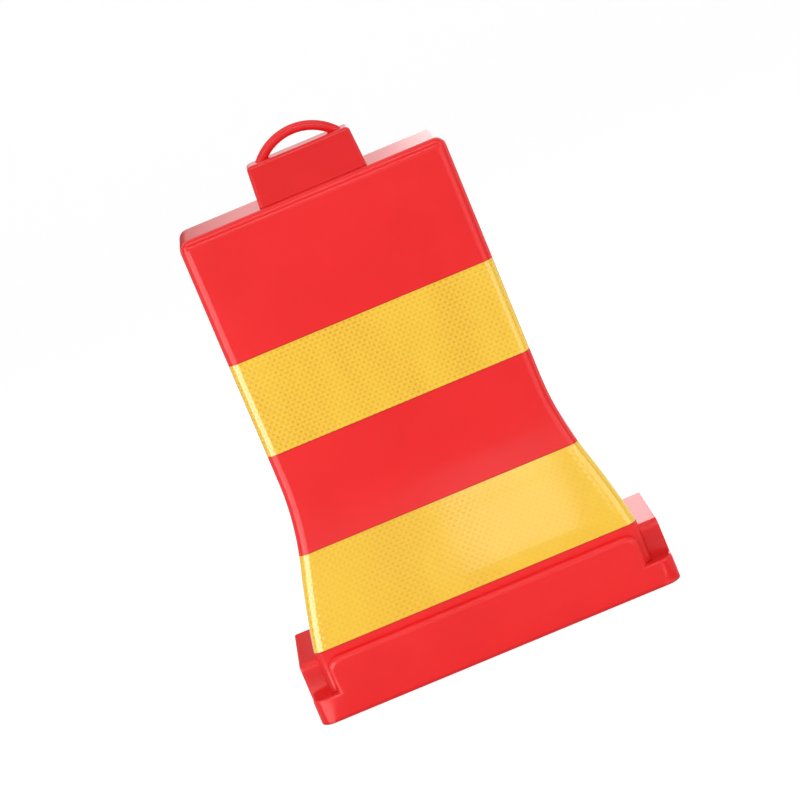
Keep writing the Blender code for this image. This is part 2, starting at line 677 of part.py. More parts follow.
build_tray(red)
build_ballast(concrete)
build_bottom_plate(dark_plastic, steel, rubber)
build_tank(red)
build_tank_bolts(steel, brass)
build_film("lower_film", FOOT_TOP, LOWER_BAND_TOP, film)
build_film("upper_film", UPPER_BAND_BOTTOM, UPPER_BAND_TOP, film)
build_drain(dark_plastic, rubber, dark_plastic)
build_loop(build_stopper(red, rubber), red)
carry("stopper_lift_axis", at(MOUTH_OFFSET, 0, TANK_TOP), ("filler_stopper", "stopper_seal", "carry_loop"))
carry("drain_axis", along_y(0, FOOT_HALF_DEPTH, DRAIN_AXIS_Z), ("drain_gasket", "drain_plug"))
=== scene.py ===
# %% [markdown]
# # A ballasted traffic barrier
# The real barrier is a hollow plastic tank that a crew fills with water or sand. It stands in a weighted base,
# carries two bands of reflective film, and has a stopper with a carrying loop on top and a drain at the rear.
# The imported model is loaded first. It is the fixed frame: every piece made here goes where its solid is.

# %% Load the frame
import json
import math

import bmesh
import bpy
from mathutils import Matrix, Quaternion, Vector

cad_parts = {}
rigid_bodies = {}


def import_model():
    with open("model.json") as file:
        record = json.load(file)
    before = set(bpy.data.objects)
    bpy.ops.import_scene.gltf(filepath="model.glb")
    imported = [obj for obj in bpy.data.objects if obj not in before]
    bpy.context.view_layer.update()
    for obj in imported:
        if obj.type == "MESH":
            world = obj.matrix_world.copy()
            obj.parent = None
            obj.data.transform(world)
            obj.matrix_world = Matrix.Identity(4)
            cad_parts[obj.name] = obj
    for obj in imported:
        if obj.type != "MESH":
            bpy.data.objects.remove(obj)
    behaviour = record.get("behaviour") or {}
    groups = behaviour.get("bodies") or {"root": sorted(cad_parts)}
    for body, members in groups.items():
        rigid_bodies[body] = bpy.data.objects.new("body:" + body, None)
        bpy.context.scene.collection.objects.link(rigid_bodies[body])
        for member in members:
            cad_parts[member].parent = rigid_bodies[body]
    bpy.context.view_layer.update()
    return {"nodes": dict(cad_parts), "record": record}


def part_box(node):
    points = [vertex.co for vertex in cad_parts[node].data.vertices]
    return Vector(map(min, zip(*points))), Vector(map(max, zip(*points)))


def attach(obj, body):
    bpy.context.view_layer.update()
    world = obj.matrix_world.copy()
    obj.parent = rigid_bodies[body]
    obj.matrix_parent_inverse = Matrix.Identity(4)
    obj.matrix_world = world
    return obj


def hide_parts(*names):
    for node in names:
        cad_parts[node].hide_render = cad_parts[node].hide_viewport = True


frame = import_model()

# %% [markdown]
# ## Places read from the frame
# Heights and widths come from the solids' boxes, so the looks follow the model. Only what a box can't tell is
# repeated here: the corner radii, the wall, and the curve by which the tank's walls flare out to its foot.

# %% Read the main places
tank_low, tank_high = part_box("tank_body")
lower_low, lower_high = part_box("lower_film_front")
upper_low, upper_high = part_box("upper_film_front")
stopper_low, stopper_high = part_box("filler_stopper")
loop_low, loop_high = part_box("carry_loop")
tray_low, tray_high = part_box("base_tray")
SEAT = 0.0003
TANK_WALL, TANK_EDGE = 0.006, 0.015
TANK_HALF = Vector((0.21225, 0.075))
FOOT_TOP, LOWER_BAND_TOP = lower_low.z - SEAT, lower_high.z + SEAT
UPPER_BAND_LOW, UPPER_BAND_TOP = upper_low.z - SEAT, upper_high.z + SEAT
MOUTH_X, LOOP_X = (stopper_low.x + stopper_high.x) / 2, (loop_low.x + loop_high.x) / 2
print("tank from", round(tank_low.z, 4), "to", round(tank_high.z, 4), "stopper at x", round(MOUTH_X, 4))

# %% [markdown]
# ## Camera
# The photograph looks slightly down on the front, with the picture turned by about 23 degrees. A long lens far
# away keeps the verticals nearly parallel. The camera's axes are worked out from those angles.

# %% Place the camera
AIM = Vector((0.00306, 0.0, 0.39112))
DISTANCE, SENSOR, FOCAL_PIXELS, PICTURE_PIXELS = 5.3688, 36.0, 3550, 800
TURN, LIFT, ROLL = math.radians(0.502), math.radians(11.069), math.radians(22.671)
back = Vector((math.sin(TURN) * math.cos(LIFT), -math.cos(TURN) * math.cos(LIFT), math.sin(LIFT)))
level = Vector((math.cos(TURN), math.sin(TURN), 0.0))
upward = back.cross(level)
across = math.cos(ROLL) * level - math.sin(ROLL) * upward
along = math.sin(ROLL) * level + math.cos(ROLL) * upward
lens = bpy.data.cameras.new("camera")
lens.sensor_width, lens.lens = SENSOR, SENSOR * FOCAL_PIXELS / PICTURE_PIXELS
camera = bpy.data.objects.new("camera", lens)
bpy.context.scene.collection.objects.link(camera)
place = AIM + DISTANCE * back
camera.matrix_world = Matrix.Translation(place) @ Matrix((across, along, back)).transposed().to_4x4()
bpy.context.scene.camera = camera
bpy.context.scene.view_settings.view_transform = "Standard"
print("camera at", [round(value, 3) for value in place])

# %% [markdown]
# ## Modelling by hand, in code
# With no mouse, faces and edges are chosen by where they are. These helpers put one object in edit mode, choose
# its edges or faces by a test, and apply a modifier. Everything else is Blender's own operators.

# %% Helpers for selecting and for modifiers
NEAR = 1e-6


def only(piece):
    if bpy.context.mode != "OBJECT":
        bpy.ops.object.mode_set(mode="OBJECT")
    bpy.ops.object.select_all(action="DESELECT")
    piece.select_set(True)
    bpy.context.view_layer.objects.active = piece


def pick(kind, test):
    """Selects edges or faces of the piece in edit mode and returns how many."""
    bpy.ops.mesh.select_mode(type={"edges": "EDGE", "faces": "FACE"}[kind])
    bpy.ops.mesh.select_all(action="DESELECT")
    sheet = bmesh.from_edit_mesh(bpy.context.object.data)
    chosen = [part for part in getattr(sheet, kind) if test(part)]
    for part in chosen:
        part.select_set(True)
    bmesh.update_edit_mesh(bpy.context.object.data)
    return len(chosen)


def ends(edge):
    return [vert.co for vert in edge.verts]


def upright(edge):
    first, second = ends(edge)
    return abs(first.z - second.z) > NEAR


def at_height(edge, height):
    return all(abs(end.z - height) < NEAR for end in ends(edge))


def faces_up(face):
    return face.normal.z > 0.9


def middle_of(node):
    """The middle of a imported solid's box."""
    low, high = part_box(node)
    return (low + high) / 2


def apply(piece, kind, **settings):
    only(piece)
    step = piece.modifiers.new(kind.lower(), kind)
    for name, value in settings.items():
        setattr(step, name, value)
    bpy.ops.object.modifier_apply(modifier=step.name)


def carve(piece, operation, tools):
    """Adds tools to a piece, or cuts them out of it, one after another."""
    for tool in tools:
        apply(piece, "BOOLEAN", operation=operation, solver="EXACT", object=tool)
        bpy.data.objects.remove(tool)


print("helpers ready")


# %% [markdown]
# Two shapes come back often as a start or as a cutter: a block with rounded upright edges and a round bar. Both
# begin as a primitive at its place and leave with their place in the mesh.


# %% Rounded blocks and round bars
def block(name, low, high, radius=0.0, steps=8):
    low, high = Vector(low), Vector(high)
    bpy.ops.object.select_all(action="DESELECT")
    bpy.ops.mesh.primitive_cube_add(size=1)
    piece = bpy.context.object
    piece.name = piece.data.name = name
    bpy.ops.object.mode_set(mode="EDIT")
    bpy.ops.transform.resize(value=high - low, center_override=(0, 0, 0))
    bpy.ops.transform.translate(value=(low + high) / 2)
    if radius:
        pick("edges", upright)
        bpy.ops.mesh.bevel(offset=radius, segments=steps, affect="EDGES")
    bpy.ops.object.mode_set(mode="OBJECT")
    return piece


def bar(name, radius, low, high, x, y, steps=40):
    bpy.ops.object.select_all(action="DESELECT")
    middle = (x, y, (low + high) / 2)
    bpy.ops.mesh.primitive_cylinder_add(vertices=steps, radius=radius, depth=high - low, location=middle)
    piece = bpy.context.object
    piece.name = piece.data.name = name
    bpy.ops.object.transform_apply(location=True)
    return piece


def level_bar(name, radius, low, high, z, steps=40):
    """A bar that lies along Y in the middle of the part."""
    piece = bar(name, radius, low, high, 0, 0, steps)
    only(piece)
    bpy.ops.object.mode_set(mode="EDIT")
    bpy.ops.mesh.select_all(action="SELECT")
    bpy.ops.transform.rotate(value=math.pi / 2, orient_axis="X", center_override=(0, 0, (low + high) / 2))
    bpy.ops.transform.translate(value=(0, (low + high) / 2, z - (low + high) / 2))
    bpy.ops.object.mode_set(mode="OBJECT")
    return piece


def smooth(piece, degrees=35):
    only(piece)
    bpy.ops.object.shade_smooth_by_angle(angle=math.radians(degrees))
    apply(piece, "WEIGHTED_NORMAL", keep_sharp=True, weight=80)


print("blocks and bars ready")

# %% [markdown]
# ## Tank
# The tank is one hollow moulding: a straight foot, walls that curve in, and an upright top. It could be lofted
# from rings, but by hand it is a block whose top face is extruded up step by step and resized at each step,
# and whose long edges are then rounded by one bevel. The same recipe, a wall's thickness smaller, cuts the hollow.

# %% Tank form
FLARE_HEIGHT, KNEE_HEIGHT, KNEE_SLOPE, FOOT_SLOPE = 0.2505, 0.116, 0.30, 0.19
FLARE_STEPS, LEAST_STEP, TANK_FOOT_EDGE = 40, 0.004, 0.001


def flare(z):
    height, reach = z - FOOT_TOP, FLARE_HEIGHT - KNEE_HEIGHT
    if height >= FLARE_HEIGHT:
        return 0.0
    if height >= KNEE_HEIGHT:
        return KNEE_SLOPE * (FLARE_HEIGHT - height) ** 2 / (2 * reach)
    drop = KNEE_HEIGHT - max(height, 0.0)
    return KNEE_SLOPE * (reach / 2 + drop) - (KNEE_SLOPE - FOOT_SLOPE) * drop**2 / (2 * KNEE_HEIGHT)


def half_size(z, inset):
    return Vector((TANK_HALF.x + flare(z) - inset, TANK_HALF.y + flare(z) - inset))


def tank_form(name, inset, low, high, radius, foot_radius=0.0):
    steps = [FOOT_TOP + FLARE_HEIGHT * step / FLARE_STEPS for step in range(1, FLARE_STEPS + 1)]
    levels = [z for z in steps if abs(z - LOWER_BAND_TOP) > LEAST_STEP]
    levels = sorted(levels + [LOWER_BAND_TOP, UPPER_BAND_LOW, UPPER_BAND_TOP, high])
    foot = half_size(low, inset)
    piece = block(name, (-foot.x, -foot.y, low), (foot.x, foot.y, FOOT_TOP))
    only(piece)
    bpy.ops.object.mode_set(mode="EDIT")
    pick("faces", faces_up)
    below = FOOT_TOP
    for z in levels:
        old, new = half_size(below, inset), half_size(z, inset)
        bpy.ops.mesh.extrude_region_move(TRANSFORM_OT_translate={"value": (0, 0, z - below)})
        bpy.ops.transform.resize(value=(new.x / old.x, new.y / old.y, 1), center_override=(0, 0, z))
        below = z
    pick("edges", lambda edge: upright(edge) or at_height(edge, high))
    bpy.ops.mesh.bevel(offset=radius, segments=10, affect="EDGES")
    if foot_radius:
        pick("edges", lambda edge: at_height(edge, low))
        bpy.ops.mesh.bevel(offset=foot_radius, segments=3, affect="EDGES")
    bpy.ops.object.mode_set(mode="OBJECT")
    print(name, "faces:", len(piece.data.polygons), "curve ends at", round(FOOT_TOP + FLARE_HEIGHT, 4))
    return piece


tank = tank_form("tank", 0.0, tank_low.z, tank_high.z, TANK_EDGE, TANK_FOOT_EDGE)

# %% [markdown]
# ## Reflective film
# Each band is film stuck round the tank, in a shallow recess so that its edges can't be picked off. The simplest
# way to a film that fits is to copy the tank's own skin between two heights, give it a thickness inwards, and
# cut it into a front and a rear half. The recess is the same skin pushed in by a little more than the film.

# %% Cut the film from the tank's skin
FILM, FILM_SEAM = 0.0006, 0.001
BANDS = {"lower": (FOOT_TOP, LOWER_BAND_TOP), "upper": (UPPER_BAND_LOW, UPPER_BAND_TOP)}


def in_band(face, low, high):
    return low < face.calc_center_median().z < high and abs(face.normal.z) < 0.7


def cut(piece, place, normal):
    """Cuts a closed piece by a plane, drops what lies along the normal and closes the cut."""
    only(piece)
    bpy.ops.object.mode_set(mode="EDIT")
    bpy.ops.mesh.select_all(action="SELECT")
    bpy.ops.mesh.bisect(plane_co=place, plane_no=normal, use_fill=True, clear_outer=True)
    bpy.ops.object.mode_set(mode="OBJECT")


def copy_of(piece, name):
    made = piece.copy()
    made.data = piece.data.copy()
    made.name = made.data.name = name
    bpy.context.scene.collection.objects.link(made)
    return made


films = {}
for band, (low, high) in BANDS.items():
    only(tank)
    bpy.ops.object.mode_set(mode="EDIT")
    count = pick("faces", lambda face: in_band(face, low, high))
    bpy.ops.mesh.duplicate()
    bpy.ops.mesh.separate(type="SELECTED")
    bpy.ops.object.mode_set(mode="OBJECT")
    skin = next(piece for piece in bpy.context.selected_objects if piece != tank)
    apply(skin, "SOLIDIFY", thickness=FILM, offset=-1.0, use_even_offset=True)
    cut(skin, (0, 0, low + SEAT), (0, 0, -1))
    cut(skin, (0, 0, high - SEAT), (0, 0, 1))
    for half, side in (("front", 1), ("rear", -1)):
        films[f"{band}_film_{half}"] = film = copy_of(skin, f"{band}_band_{half}")
        cut(film, (0, -side * FILM_SEAM / 2, 0), (0, side, 0))
    bpy.data.objects.remove(skin)
    print(band, "band from", count, "faces of the tank's skin")

# %% Press the recesses into the tank
for low, high in BANDS.values():
    only(tank)
    bpy.ops.object.mode_set(mode="EDIT")
    pick("faces", lambda face: in_band(face, low, high))
    depth = {"value": -(FILM + SEAT), "use_even_offset": True}
    bpy.ops.mesh.extrude_region_shrink_fatten(TRANSFORM_OT_shrink_fatten=depth)
    bpy.ops.object.mode_set(mode="OBJECT")
waist = [vert.co.x for vert in tank.data.vertices if abs(vert.co.z - UPPER_BAND_LOW) < NEAR]
print("recess depth:", round(TANK_HALF.x - min(x for x in waist if x > 0.2), 5))

# %% [markdown]
# ## Hollow, mouth and drain hole
# The tank is hollowed by a smaller copy of its own form. A collar hangs from its roof round the filler mouth,
# and bosses in its foot take the threaded inserts and the drain. These meet at right angles, so Booleans are the
# natural tool. The mouth's lip is rounded last, where the stopper slides in.

# %% Hollow the tank and open it
MOUTH, MOUTH_RADIUS, COLLAR_DEPTH, COLLAR_WALL = Vector((0.075, 0.020)), 0.010, 0.026, 0.005
MOUTH_CUT, LIP_EDGE, LIP_REACH = 0.040, 0.0015, 0.021
BOSS_RADIUS, BOSS_HEIGHT, INSERT_RADIUS, INSERT_DEPTH = 0.016, 0.026, 0.0093, 0.0186
DRAIN_BOSS_RADIUS, DRAIN_BOSS_DEPTH, DRAIN_RADIUS = 0.025, 0.019, 0.0193
OVERLAP, PAST = 0.003, 0.005
floor_inside, roof_inside = tank_low.z + TANK_WALL, tank_high.z - TANK_WALL


def mouth_block(name, grow, low, high):
    half = MOUTH + Vector((grow, grow))
    corner = (MOUTH_X - half.x, -half.y, low)
    return block(name, corner, (MOUTH_X + half.x, half.y, high), MOUTH_RADIUS + grow)


def on_lip(edge):
    return at_height(edge, tank_high.z) and all(abs(end.y) < LIP_REACH for end in ends(edge))


insert_places = [middle_of(f"tank_insert_{n}") for n in range(1, 5)]
drain = middle_of("drain_bush")
foot_face = half_size(tank_low.z, 0.0).y
boss_face = foot_face - TANK_WALL - DRAIN_BOSS_DEPTH
hollow = tank_form("hollow", TANK_WALL, floor_inside, roof_inside, TANK_EDGE - TANK_WALL)
carve(tank, "DIFFERENCE", [hollow])
collar = mouth_block("collar", COLLAR_WALL, tank_high.z - COLLAR_DEPTH, roof_inside + OVERLAP)
boss_low, boss_high = floor_inside - OVERLAP, tank_low.z + BOSS_HEIGHT
bosses = [bar("boss", BOSS_RADIUS, boss_low, boss_high, p.x, p.y) for p in insert_places]
bosses.append(level_bar("drain_boss", DRAIN_BOSS_RADIUS, boss_face, foot_face - TANK_WALL / 2, drain.z))
carve(tank, "UNION", [collar] + bosses)
mouth = mouth_block("mouth", 0.0, tank_high.z - MOUTH_CUT, tank_high.z + 2 * PAST)
hole_low, hole_high = tank_low.z - PAST, tank_low.z + INSERT_DEPTH
holes = [bar("hole", INSERT_RADIUS, hole_low, hole_high, p.x, p.y) for p in insert_places]
holes.append(level_bar("drain_hole", DRAIN_RADIUS, boss_face - PAST, foot_face + PAST, drain.z))
carve(tank, "DIFFERENCE", [mouth] + holes)
only(tank)
bpy.ops.object.mode_set(mode="EDIT")
lip = pick("edges", on_lip)
bpy.ops.mesh.bevel(offset=LIP_EDGE, segments=3, affect="EDGES")
smooth(tank)
for film in films.values():
    smooth(film)
print("tank faces:", len(tank.data.polygons), "lip edges:", lip)

# %% [markdown]
# ## Base tray
# The base is a moulded slab with rounded corners. A pad stands in front of the tank's foot and two behind it,
# with a gap for the drain, and a block stands at each end, so that a notch is left open at each corner. Every
# block is rounded first, each with its own radius, and then they are joined and the ballast pocket is cut.

# %% Slab, end blocks and pads
SOCKET_GAP, SLAB_CORNER, SLAB_EDGE, SLAB_FOOT_EDGE = 0.0005, 0.022, 0.004, 0.002
PAD_INSET, PAD_CORNER, PAD_EDGE, DRAIN_SLOT = 0.011, 0.018, 0.009, 0.064
END_DEPTH, END_TOP, END_EDGE, ROOT = 0.203, 0.012, 0.003, 0.010
slab_top = tank_low.z - SEAT
foot_x, foot_y = half_size(tank_low.z, -SOCKET_GAP)


def round_off(piece, test, radius, steps=8):
    only(piece)
    bpy.ops.object.mode_set(mode="EDIT")
    pick("edges", test)
    bpy.ops.mesh.bevel(offset=radius, segments=steps, affect="EDGES")
    bpy.ops.object.mode_set(mode="OBJECT")


def lies_at(edge, axis, value):
    return all(abs(end[axis] - value) < NEAR for end in ends(edge))


def on_rim(edge, axis, face):
    """An edge in an upright outer face that reaches above the slab."""
    return lies_at(edge, axis, face) and max(end.z for end in ends(edge)) > slab_top


def on_end_top(edge):
    """A top edge of an end block that runs across the part."""
    return at_height(edge, tray_high.z) and lies_at(edge, 1, ends(edge)[0].y)


def pad(low_x, high_x, side, corners):
    near, far = sorted((side * foot_y, side * tray_high.y))
    piece = block("pad", (low_x, near, slab_top - ROOT), (high_x, far, tray_high.z))
    for x, radius in zip((low_x, high_x), corners):
        round_off(piece, lambda edge: lies_at(edge, 0, x) and at_height(edge, tray_high.z), radius, 12)
    round_off(piece, lambda edge: on_rim(edge, 1, side * tray_high.y), PAD_EDGE)
    return piece


def end_block(side):
    near, far = sorted((side * foot_x, side * tray_high.x))
    piece = block("end", (near, -END_DEPTH / 2, slab_top - ROOT), (far, END_DEPTH / 2, tray_high.z))
    round_off(piece, on_end_top, END_TOP, 10)
    round_off(piece, lambda edge: on_rim(edge, 0, side * tray_high.x), END_EDGE, 4)
    return piece


tray = block("tray", tray_low, (tray_high.x, tray_high.y, slab_top), SLAB_CORNER, 12)
round_off(tray, lambda edge: at_height(edge, slab_top), SLAB_EDGE, 5)
round_off(tray, lambda edge: at_height(edge, tray_low.z), SLAB_FOOT_EDGE, 3)
reach, slot = half_size(tank_low.z, 0.0).x - PAD_INSET, DRAIN_SLOT / 2
pads = [pad(-reach, reach, -1, (PAD_CORNER, PAD_CORNER))]
pads.append(pad(-reach, -slot, 1, (PAD_CORNER, PAD_CORNER / 2)))
pads.append(pad(slot, reach, 1, (PAD_CORNER / 2, PAD_CORNER)))
carve(tray, "UNION", [end_block(-1), end_block(1)] + pads)
print("tray faces:", len(tray.data.polygons))

# %% Ballast pocket, bosses and bolt holes
PLATE_GAP, POCKET_CORNER, POCKET_LOW = 0.0005, 0.012, -0.01
SCREW_BOSS, PILOT, PILOT_TOP, BOLT_HOLE = 0.009, 0.0027, 0.0213, 0.0055
plate_high, ballast_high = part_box("bottom_plate")[1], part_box("ballast_slab")[1]
screw_places = [middle_of(f"plate_screw_{n}") for n in range(1, 9)]
pocket_top = ballast_high.z + SEAT
pocket = Vector((plate_high.x + PLATE_GAP, plate_high.y + PLATE_GAP))
pocket_corners = (-pocket.x, -pocket.y, POCKET_LOW), (pocket.x, pocket.y, pocket_top)
carve(tray, "DIFFERENCE", [block("pocket", *pocket_corners, POCKET_CORNER)])
boss_low, boss_high = plate_high.z + SEAT, pocket_top + OVERLAP
carve(tray, "UNION", [bar("boss", SCREW_BOSS, boss_low, boss_high, p.x, p.y) for p in screw_places])
holes = [bar("pilot", PILOT, 0.0, PILOT_TOP, p.x, p.y, 24) for p in screw_places]
hole_low, hole_high = pocket_top - OVERLAP, slab_top + OVERLAP
holes += [bar("hole", BOLT_HOLE, hole_low, hole_high, p.x, p.y, 24) for p in insert_places]
carve(tray, "DIFFERENCE", holes)
smooth(tray)
print("tray with pocket, faces:", len(tray.data.polygons))

# %% [markdown]
# ## Stopper
# The stopper is a tapered block that stands over the mouth, with a thin skirt that hangs in it. The block starts
# as a cube whose top face is drawn in a little, and its edges are rounded. It is moulded hollow from below, with
# two solid lugs left under its top for the loop's ends.

# %% Stopper block
STOPPER_EDGE, STOPPER_FOOT_EDGE, STOPPER_WALL, INNER_EDGE, LUG = 0.006, 0.0005, 0.006, 0.0025, 0.024
SKIRT_GAP, SKIRT_INSET, CROWN_X, CROWN_Y, BITE = 0.0036, 0.0076, 0.043, 0.020, 0.002
foot_half, top_half = Vector((0.086, 0.053)), Vector((0.082, 0.026))
block_low = tank_high.z + SEAT


def tapered(name, low, high, inset, radius):
    """The stopper's outline between two heights, inset from its outer surface."""
    rise = stopper_high.z - block_low
    drawn_in = Vector((inset, inset))
    first, last = [foot_half.lerp(top_half, (z - block_low) / rise) - drawn_in for z in (low, high)]
    piece = block(name, (MOUTH_X - first.x, -first.y, low), (MOUTH_X + first.x, first.y, high))
    only(piece)
    bpy.ops.object.mode_set(mode="EDIT")
    pick("faces", faces_up)
    centre = (MOUTH_X, 0, high)
    bpy.ops.transform.resize(value=(last.x / first.x, last.y / first.y, 1), center_override=centre)
    pick("edges", lambda edge: upright(edge) or at_height(edge, high))
    bpy.ops.mesh.bevel(offset=radius, segments=6, affect="EDGES")
    bpy.ops.object.mode_set(mode="OBJECT")
    return piece


stopper = tapered("stopper", block_low, stopper_high.z, 0.0, STOPPER_EDGE)
round_off(stopper, lambda edge: at_height(edge, block_low), STOPPER_FOOT_EDGE, 2)
lug_bottom, ceiling = stopper_high.z - LUG, stopper_high.z - STOPPER_WALL
carve(stopper, "UNION", [mouth_block("skirt", -SKIRT_GAP, stopper_low.z, block_low + OVERLAP)])
inside = [tapered("chamber", block_low + STOPPER_WALL, lug_bottom, STOPPER_WALL, INNER_EDGE)]
crown_low = (MOUTH_X - CROWN_X, -CROWN_Y, lug_bottom - BITE)
inside.append(block("crown", crown_low, (MOUTH_X + CROWN_X, CROWN_Y, ceiling), INNER_EDGE))
inside.append(mouth_block("skirt_inside", -SKIRT_INSET, stopper_low.z - PAST, block_low + 2 * PAST))
carve(stopper, "DIFFERENCE", inside)
print("stopper faces:", len(stopper.data.polygons))

# %% [markdown]
# ## Carrying loop
# The loop is a round rod bent to a shallow arc. A circle spun about the arc's centre is exactly that. A slightly
# thicker rod, made the same way, first cuts the sockets in the stopper's top.

# %% Spin the loop
ROD, SPAN, RISE, EMBED = 0.0076, 0.118, 0.0252, 0.014
arc = (SPAN**2 / 4 + RISE**2) / (2 * RISE)
arc_z = stopper_high.z + RISE - arc


def bent_rod(name, radius, embed, steps=48):
    reach = math.acos((arc - RISE - embed) / arc)
    start = Vector((LOOP_X - arc * math.sin(reach), 0, arc_z + arc * math.cos(reach)))
    bpy.ops.object.select_all(action="DESELECT")
    bpy.ops.mesh.primitive_circle_add(vertices=24, radius=radius, fill_type="NOTHING")
    rod = bpy.context.object
    rod.name = rod.data.name = name
    bpy.ops.object.mode_set(mode="EDIT")
    bpy.ops.mesh.select_all(action="SELECT")
    normal = Vector((math.cos(reach), 0, math.sin(reach)))
    turn = Vector((0, 0, 1)).rotation_difference(normal).to_matrix().to_4x4()
    turn.translation = start
    sheet = bmesh.from_edit_mesh(rod.data)
    bmesh.ops.transform(sheet, matrix=turn, verts=sheet.verts)
    bmesh.update_edit_mesh(rod.data)
    bpy.ops.mesh.spin(steps=steps, angle=-2 * reach, center=(LOOP_X, 0, arc_z), axis=(0, 1, 0))
    bpy.ops.mesh.select_all(action="SELECT")
    bpy.ops.mesh.remove_doubles(threshold=NEAR)
    bpy.ops.mesh.fill_holes(sides=0)
    bpy.ops.mesh.normals_make_consistent(inside=False)
    bpy.ops.object.mode_set(mode="OBJECT")
    return rod


carve(stopper, "DIFFERENCE", [bent_rod("socket", ROD + SEAT, EMBED + SEAT)])
smooth(stopper)
loop = bent_rod("loop", ROD, EMBED)
smooth(loop)
crest = max(vert.co.z for vert in loop.data.vertices)
print("loop crest at", round(crest, 4), "solid's crest at", round(loop_high.z, 4))

# %% [markdown]
# ## Drain plug
# The plug is a black screw with a flange and a grip for the fingers. Its solid has a plain shank, but the plug
# comes out far enough to show it, so the thread is made here: a thin three-sided wire, wound along the shank by a
# Screw modifier at the pitch by which the plug travels for each turn.

# %% Plug with its thread
plug_low, plug_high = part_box("drain_plug")
FLANGE, FLANGE_THICK, CORE, RIDGE, PITCH, TURNS = 0.0235, 0.0045, 0.0133, 0.0012, 0.0045, 4
GRIP = Vector((0.020, 0.0065, 0.005))
FLANGE_EDGE, GRIP_EDGE, SHANK_EDGE, THREAD_STEPS = 0.0015, 0.0025, 0.001, 32
plug_face = plug_high.y - GRIP.y


def thread(name, low):
    bpy.ops.object.select_all(action="DESELECT")
    turned = (0, 0, -math.pi / 2)
    bpy.ops.mesh.primitive_circle_add(vertices=3, radius=RIDGE, fill_type="NOTHING", rotation=turned)
    wire = bpy.context.object
    wire.name = wire.data.name = name
    bpy.ops.object.transform_apply(rotation=True)
    bpy.ops.object.mode_set(mode="EDIT")
    bpy.ops.mesh.select_all(action="SELECT")
    bpy.ops.transform.translate(value=(CORE, low, 0))
    bpy.ops.object.mode_set(mode="OBJECT")
    steps = {"steps": THREAD_STEPS, "render_steps": THREAD_STEPS}
    apply(wire, "SCREW", axis="Y", screw_offset=PITCH, iterations=TURNS, **steps)
    bpy.ops.object.mode_set(mode="EDIT")
    bpy.ops.mesh.select_all(action="SELECT")
    bpy.ops.mesh.fill_holes(sides=0)
    bpy.ops.mesh.normals_make_consistent(inside=False)
    bpy.ops.transform.translate(value=(0, 0, drain.z))
    bpy.ops.object.mode_set(mode="OBJECT")
    return wire


plug = level_bar("plug", FLANGE, plug_face - FLANGE_THICK, plug_face, drain.z, 64)
round_off(plug, lambda edge: lies_at(edge, 1, plug_face), FLANGE_EDGE, 4)
grip_low = (-GRIP.x, plug_face - BITE, drain.z - GRIP.z)
grip = block("grip", grip_low, (GRIP.x, plug_high.y, drain.z + GRIP.z))
round_off(grip, lambda edge: max(end.y for end in ends(edge)) > plug_face, GRIP_EDGE, 4)
shank = level_bar("shank", CORE, plug_low.y, plug_face - FLANGE_THICK / 2, drain.z, 48)
round_off(shank, lambda edge: lies_at(edge, 1, plug_low.y), SHANK_EDGE, 2)
carve(plug, "UNION", [grip, shank, thread("thread", plug_low.y + RIDGE)])
smooth(plug)
print("plug faces:", len(plug.data.polygons))

# %% [markdown]
# ## Finishes
# A finish is a small graph of shader nodes. To keep it readable, one class wraps a node's output, so that sums
# and products of outputs can be written as plain arithmetic, and makes any other node by its type.


# %% A wrapper for shader sockets
class Wire:
    def __init__(self, socket):
        self.socket = socket

    def node(self, kind, settings=None, sockets=None, out=0):
        tree = self.socket.id_data
        made = tree.nodes.new("ShaderNode" + kind)
        for name, value in (settings or {}).items():
            setattr(made, name, value)
        for name, value in (sockets or {}).items():
            if isinstance(value, Wire):
                tree.links.new(value.socket, made.inputs[name])
            else:
                made.inputs[name].default_value = value
        return Wire(made.outputs[out])

    def maths(self, operation, first, second=0.0):
        return self.node("Math", {"operation": operation}, {0: first, 1: second})

    def __add__(self, other):
        return self.maths("ADD", self, other)

    __radd__ = __add__

    def __sub__(self, other):
        return self.maths("SUBTRACT", self, other)

    def __rsub__(self, other):
        return self.maths("SUBTRACT", other, self)

    def __mul__(self, other):
        return self.maths("MULTIPLY", self, other)

    __rmul__ = __mul__

    def noise(self, scale, detail=2.0):
        return self.node("TexNoise", {}, {"Vector": self, "Scale": scale, "Detail": detail})

    def parts(self):
        """The X, Y and Z of a vector."""
        apart = self.node("SeparateXYZ", {}, {0: self}).socket.node
        return [Wire(output) for output in apart.outputs]

    def between(self, low, high):
        """0 below low, 1 above high, and a soft step in between."""
        settings = {"interpolation_type": "SMOOTHSTEP"}
        return self.node("MapRange", settings, {"Value": self, "From Min": low, "From Max": high})

    def mix(self, first, second):
        """A colour that goes from the first to the second as this value goes from 0 to 1."""
        colours = {0: self, 6: first, 7: second}
        return self.node("Mix", {"data_type": "RGBA"}, colours, out=2)


def finish(name, **constants):
    made = bpy.data.materials.new(name)
    made.use_nodes = True
    shader = made.node_tree.nodes["Principled BSDF"]
    for socket, value in constants.items():
        shader.inputs[socket.replace("_", " ")].default_value = value
    place = made.node_tree.nodes.new("ShaderNodeTexCoord")
    return made, Wire(place.outputs["Object"])


def feed(made, **wires):
    shader = made.node_tree.nodes["Principled BSDF"]
    for socket, wire in wires.items():
        made.node_tree.links.new(wire.socket, shader.inputs[socket.replace("_", " ")])


def bump(height, distance, strength):
    return height.node("Bump", {}, {"Height": height, "Distance": distance, "Strength": strength})


print("finishes can be made")

